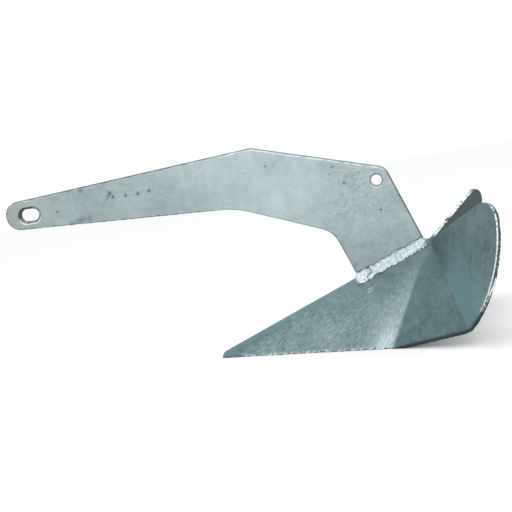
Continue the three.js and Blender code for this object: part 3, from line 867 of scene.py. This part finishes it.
def weld_groove_shade(at):
    """A painted shadow line on the panels along the foot of the welds."""
    groove = np.zeros(len(at.points))
    run = at.points @ RUN_AXIS
    beside = (run > POST_TOE_RUN - 12) & (run < POST_HEEL_RUN + 6) & (at.across < 42)
    for i in np.flatnonzero(beside & (at.top > 0)):
        side = math.copysign(1, at.points[i, 1])
        foot = weld_spread(run[i], side) if run[i] > TOE_WELD_END else TOE_WELD_SPREAD
        gap = at.across[i] - HALF_SHANK - foot - 0.6
        groove[i] = undercut_shade(at.points[i], gap, 0.85, 2.0, 0.7)
    return groove


def lip_shade(at):
    """Painted shade on the lower edge behind the shoulder, up the wing's corner and at the toe."""
    lower, _ = near_line(at.mirrored, SHOULDER + LOWER_LIP, WING_CORNER)
    corner, _ = near_line(at.mirrored, WING_LOW_CORNER, WING_CORNER)
    at_toe = (1 - smooth_step(at.from_low, 3, 6)) * (1 - smooth_step(at.x, 90, 130))
    return np.maximum.reduce([
        0.9 * (1 - smooth_step(lower, 4.0, 6.6)),
        0.8 * (1 - smooth_step(corner, 5, 9)),
        0.6 * at_toe])


def fluke_stain_and_shade(at):
    # painted shade on the cut edge walls, less higher up and along the toe's drips
    walls = (1 - smooth_step(at.face, 0.55, 0.92)) * (1 - at.notch)
    walls = walls * (1 - 0.55 * smooth_step(at.z, 60, 130))
    walls = walls * (1 - 0.6 * at.teeth * (1 - smooth_step(at.from_low, 12, 18)))
    streaks = np.zeros(len(at.points))
    for start, end, strength in WING_STREAKS:
        gap, _ = near_line(at.mirrored, start, end)
        streaks += strength * np.exp(-(gap / 3.5) ** 2)
    on_top = heel_darkening(at) + streaks + weld_groove_shade(at) + lip_shade(at)
    # painted shade on the inner faces of the wings, deeper higher up
    inner_shade = 0.30 + 0.34 * smooth_step(at.z, 170, 250)
    return np.clip(on_top * at.top + 0.93 * walls + inner_shade * at.inner, 0, DARKEST)


def fluke_highlights(mesh, at):
    """Painted highlights: a bright line on the rounding of the trailing edge, patches beside the
    notch, flecks on the drips of the lower edge, and a line on the run of zinc below the toe weld."""
    near_edge = spread(mesh, 1 - smooth_step(at.face, 0.55, 0.92), 3)
    near_edge = near_edge * smooth_step(at.outer, 0.3, 0.6)
    rounding = smooth_step(near_edge, 0.008, 0.035) * (1 - smooth_step(near_edge, 0.28, 0.42))
    trailing = smooth_step(at.across, 240, 262) * smooth_step(at.z, 75, 110) * (at.x > 735)
    speckle = smooth_step(noise_at(at.points, 6, 9), -0.25, 0.15)
    solid_line = smooth_step(at.z, 105, 140) * (1 - smooth_step(at.z, 262, 290))
    shine = rounding * trailing * (speckle + (1 - speckle) * solid_line)
    patchy = smooth_step(noise_at(at.points, 7, 32), -0.45, -0.05)
    shine = np.maximum(shine, 0.9 * at.notch * at.patches * patchy)
    flecks = smooth_step(noise_at(at.points, 5, 10), -0.2, 0.1)
    flecks = flecks * np.exp(-(at.from_low / 5) ** 2) * at.teeth
    drip = np.maximum.reduce(list(near_drip(at.points, 1.5)))
    return np.clip(0.95 * shine + 0.95 * flecks + 0.6 * drip, 0, 1)


def fluke_teal(at):
    """The greener zinc on the wings and along the crown."""
    wing = np.exp(-((at.along_rear - 270) / 130) ** 2) * np.exp(-((at.side_rear + 34) / 60) ** 2)
    return np.clip((0.6 * wing * at.on_c + 0.30 * at.crown) * at.top, 0, 1)


def fluke_flow(at):
    """Coordinates that fan out from the heel, for the wrinkles."""
    turn = 0.32 * np.arctan2(at.side_front, at.along_front)
    return np.stack([at.reach * MM, turn, np.zeros(len(turn))], axis=1)


def make_fluke(material):
    mesh = dense_copy("fluke_plate", FLUKE_VOXEL)
    points, normals = read_mesh(mesh)
    worn_toe = 1 - smooth_step(points[:, 0], 42, 70)
    points = relax_near(mesh, points, worn_toe, 6)
    at = FlukeMap(points, normals)
    points = shape_fluke(points, normals, at)
    write_mesh(mesh, points)

    at.settle(points)
    coarse = 0.25 + 0.75 * at.on_a * smooth_step(at.across, 16, 30)
    # tone here holds painted highlights and painted shade
    set_attribute(mesh, "tone", fluke_tone_and_painted_light(at))
    set_attribute(mesh, "stain_and_shade", fluke_stain_and_shade(at))
    set_attribute(mesh, "teal", fluke_teal(at))
    set_attribute(mesh, "runs", (at.on_c * 0.6 + at.on_b * 0.15) * at.top)
    set_attribute(mesh, "coarse", np.clip(coarse, 0, 1))
    set_attribute(mesh, "painted_highlight", fluke_highlights(mesh, at))
    set_attribute(mesh, "flow", fluke_flow(at))
    return show("fluke_galvanised", mesh, material, "fluke_zinc", "fluke_plate")


# ---- welds ----------------------------------------------------------------------------------

FACE_STEPS = 16                   # steps across a bead's face
BEAD_STEP = 1.3                   # from one ring of a bead to the next
WELD_SUNK = 1.6                   # how far a bead's root lies inside the post
POST_ROUND = 3.0                  # radius of the toe weld's turn round the post
TOE_TURNS = 16
SEAM = [          # run and across: where the toe weld and the long weld meet
    (509, 9.5), (516, 11.6), (522.5, 14.6), (523.5, 19), (516, 22), (505, 23), (507, 27.5),
]
HOOK = [(655, 24.5), (672, 25), (683, 22.5), (689, 18)]
WELD_LINES = ((SEAM, 0.9, 1.5), (HOOK, 0.7, 1.2))                        # strength, width of a painted shadow along each seam
WELD_PITS = [(514, 9.5, 3.2), (519.5, 9.5, 2.6), (474, 12, 3.5), (470, 8, 3)]    # and radius


def loft(name, rings):
    """A closed mesh through rings of points, capped at both ends."""
    rings = np.asarray(rings)
    size = rings.shape[1]
    shape = bmesh.new()
    verts = [[shape.verts.new(p) for p in to_row(ring)] for ring in rings]
    for one, two in zip(verts, verts[1:]):
        for k in range(size):
            after = (k + 1) % size
            shape.faces.new((one[k], one[after], two[after], two[k]))
    for ring in (verts[0], verts[-1]):
        middle = shape.verts.new(sum((v.co for v in ring), Vector()) / size)
        for k in range(size):
            shape.faces.new((ring[k], middle, ring[(k + 1) % size]))
    bmesh.ops.recalc_face_normals(shape, faces=shape.faces)
    mesh = bpy.data.meshes.new(name)
    shape.to_mesh(mesh)
    shape.free()
    return mesh


def end_round(distance, length, least):
    """How full a bead is at a distance from its end, which is round over the length."""
    short = 1 - min(1, distance / length)
    return math.sqrt(max(0.0, 1 - short ** 2)) * (1 - least) + least


def bead_ring(run, across, out_run, out_across, width, rise, place, pitch, seed):
    """One ring of a bead on the crown. It starts on the post at a run and across, and spreads
    over the surface in the outward direction. Ripples curve across it."""
    ring = []
    for k in range(FACE_STEPS + 1):
        u = k / FACE_STEPS
        out = -WELD_SUNK + u * (width + WELD_SUNK)
        r, a = run + out * out_run, across + out * out_across
        bow = 4 * u * (1 - u)
        ripple = math.sin(2 * math.pi * (place + 3.2 * bow) / pitch)
        point = Vector(on_crown(r, a, 0))
        lump = noise.noise(point / 9 + Vector((seed, 0, 0)))
        lump += 0.6 * noise.noise(point / 4 + Vector((0, seed, 0)))
        lift = rise * (1 - u ** 1.5) ** 1.05
        lift += (0.6 * ripple + 3.0 * lump) * min(1, 6 * u * (1 - u) + 0.1)
        ring.append(on_crown(r, a, crown_surface(a) + lift - 0.6 * u))
    foot = across + width * out_across
    ring.append(on_crown(run + width * out_run, foot, crown_surface(foot) - 4))
    ring.append(on_crown(run - WELD_SUNK * out_run, across - WELD_SUNK * out_across, -7))
    return ring


def weld_spread(run, side):
    """Width of a long bead over the panel, uneven along its length."""
    return (LONG_WELD_SPREAD + 4.5 * noise.noise(Vector((run / 9, side * 3, 0.3)))
            + 3.0 * noise.noise(Vector((run / 4, side * 5, 1.4))))


def weld_rise(run, side):
    """Height of a long bead on the cheek of the post."""
    return (LONG_WELD_RISE + 4.0 * noise.noise(Vector((run / 9, side * 7, 4.3)))
            + 2.8 * noise.noise(Vector((run / 4, side, 6.4))))


def stain_and_shade_weld(mesh):
    """Darkens a bead in random patches and at its pits, and paints shade along the seams between its
    runs and at the front of the toe weld.
    """
    points, _ = read_mesh(mesh)
    run, across = points @ RUN_AXIS, np.abs(points[:, 1])
    plan = np.stack([run, across], axis=1)
    hollow = smooth_step(noise_at(points, 6, 12), 0.22, 0.5)
    hollow = hollow + 0.8 * smooth_step(noise_at(points, 3.5, 13), 0.32, 0.5)
    stain_and_shade = hollow * 0.34
    for line, strength, wide in WELD_LINES:
        for start, end in zip(line, line[1:]):
            gap, _ = near_line(plan, start, end)
            stain_and_shade = np.maximum(stain_and_shade, strength * np.exp(-(gap / wide) ** 2))
    for r, a, radius in WELD_PITS:
        stain_and_shade += 0.9 * np.exp(-(np.hypot(run - r, across - a) / radius) ** 2)
    stain_and_shade += 0.4 * np.exp(-np.hypot((run - 515) / 6, (across - 17) / 3.5) ** 2)
    stain_and_shade += 0.22 * (1 - smooth_step(across, 4, 11)) * (run < POST_TOE_RUN + 2)
    set_attribute(mesh, "stain_and_shade", np.clip(stain_and_shade, 0, DARKEST))


def make_long_weld(side, material):
    start, end = TOE_WELD_END - 3, 690.0
    rings = []
    for run in np.arange(start, end, BEAD_STEP):
        full = end_round(min(run - start, end - run), 9, 0.15)
        width, rise = weld_spread(run, side) * full, weld_rise(run, side) * full
        post = side * HALF_SHANK
        rings.append(bead_ring(run, post, 0, side, width, rise, run, 6.5, side * 3.0))
    mesh = loft("weld_long_" + SIDE_NAMES[side], rings)
    stain_and_shade_weld(mesh)
    return show("weld_bead_shank_" + SIDE_NAMES[side], mesh, material, "weld_zinc",
                "weld_shank_" + SIDE_NAMES[side])


def toe_weld_path():
    """Run, across and outward direction along the toe weld, round the post's front."""
    corner = POST_TOE_RUN + POST_ROUND
    port = [(run, -HALF_SHANK, 0.0, -1.0) for run in np.arange(526.0, corner, -BEAD_STEP)]
    for k in range(TOE_TURNS + 1):
        turn = math.pi / 2 * k / TOE_TURNS
        port.append((corner - POST_ROUND * math.sin(turn),
                     -HALF_SHANK + POST_ROUND * (1 - math.cos(turn)),
                     -math.sin(turn), -math.cos(turn)))
    front = [(POST_TOE_RUN, across, -1.0, 0.0)
             for across in np.arange(-HALF_SHANK + 4.2, HALF_SHANK - 3.5, BEAD_STEP)]
    starboard = [(run, -across, out_run, -out_across)
                 for run, across, out_run, out_across in reversed(port)]
    return port + front + starboard


def make_toe_weld(material):
    """The weld that wraps the front of the post from cheek to cheek."""
    path = toe_weld_path()
    rings = []
    for i, (run, across, out_run, out_across) in enumerate(path):
        full = end_round(min(i, len(path) - 1 - i) * BEAD_STEP, 7, 0.2)
        front = abs(out_run)
        drift = 2.2 * noise.noise(Vector((i / 6, 2, 0)))
        drift += 1.2 * noise.noise(Vector((i / 2.5, 3, 0)))
        uneven = 2.2 * noise.noise(Vector((i / 7, 5, 1)))
        width = (TOE_WELD_SPREAD - 9.0 * front + drift) * full
        rise = (TOE_WELD_RISE - 4.0 * front + uneven) * full
        rings.append(bead_ring(run, across, out_run, out_across, width, rise,
                               i * BEAD_STEP, 8.0, 5.0))
    mesh = loft("weld_toe_bead", rings)
    stain_and_shade_weld(mesh)
    return show("weld_bead_toe", mesh, material, "weld_zinc", "weld_toe")


def make_heel_weld(material):
    """The small hollow weld behind the post."""
    start, width, height = POST_HEEL_RUN - 3, 9.5, 9.0
    rings = []
    for across in np.arange(-HALF_SHANK - 0.5, HALF_SHANK + 0.51, 1.0):
        surface = crown_surface(across)
        bulge = 0.5 * noise.noise(Vector((across / 4, 8, 2)))
        ripple = 0.4 * math.sin(2 * math.pi * across / 5)
        ring = []
        for k in range(FACE_STEPS + 1):
            u = k / FACE_STEPS
            lift = (height + bulge) * (1 - u) ** 1.7 + ripple * u * (1 - u)
            ring.append(on_crown(start + width * u, across, surface + lift - 0.3 * u))
        ring.append(on_crown(start + width, across, surface - 3))
        ring.append(on_crown(start, across, surface - 4))
        rings.append(ring)
    mesh = loft("weld_heel_bead", rings)
    stain_and_shade_weld(mesh)
    return show("weld_bead_heel", mesh, material, "weld_zinc", "weld_heel")


def make_under_weld(node, material):
    """A small bead in the hollow of the toe, with ripples along its length."""
    mesh = dense_copy(node, UNDER_WELD_VOXEL)
    points, normals = read_mesh(mesh)
    one_end = points[np.argmax(np.linalg.norm(points - points.mean(axis=0), axis=1))]
    other_end = points[np.argmax(np.linalg.norm(points - one_end, axis=1))]
    along = (points - one_end) @ unit(other_end - one_end)
    ripple = np.sin(2 * math.pi * (along + 2.0 * noise_at(points, 8, 41)) / 5.5)
    cut = np.clip(0.5 + 0.4 * ripple + 0.6 * noise_at(points, 5, 42), 0, 1.4)
    write_mesh(mesh, points - normals * cut[:, None])
    # painted shade in the troughs between the ripples
    set_attribute(mesh, "stain_and_shade", 0.45 * smooth_step(cut, 0.6, 1.3))
    return show(node + "_bead", mesh, material, "weld_zinc", node)


# ---- assembly -------------------------------------------------------------------------------

def keep_node(node, material):
    """A CAD node that stays as it is, with a better material."""
    for slot in nodes[node].material_slots:
        slot.material = material


make_camera()
make_studio()
make_floor()

weld = weld_zinc("weld_zinc", (140, 160, 166), (186, 204, 208), (228, 240, 242))
# a darker copy of the weld zinc: painted shade for the beads under the toe
shaded_weld = weld_zinc("weld_zinc_shaded", (96, 114, 120), (132, 150, 155), (172, 188, 192))
# a lighter copy of the weld zinc: painted light on the toe weld
lit_weld = weld_zinc("weld_zinc_lit", (150, 170, 176), (206, 222, 226), (242, 249, 250))
fluke = fluke_zinc()
make_shank(shank_zinc())
make_fluke(fluke)
for side in (PORT, STARBOARD):
    make_long_weld(side, weld)
make_toe_weld(lit_weld)
make_heel_weld(weld)
keep_node("toe_ballast", ballast_steel())
keep_node("ballast_cover", fluke)
keep_node("ballast_bulkhead", fluke)
for side in (PORT, STARBOARD):
    make_under_weld("weld_cover_" + SIDE_NAMES[side], shaded_weld)
    make_under_weld("weld_bulkhead_" + SIDE_NAMES[side], shaded_weld)
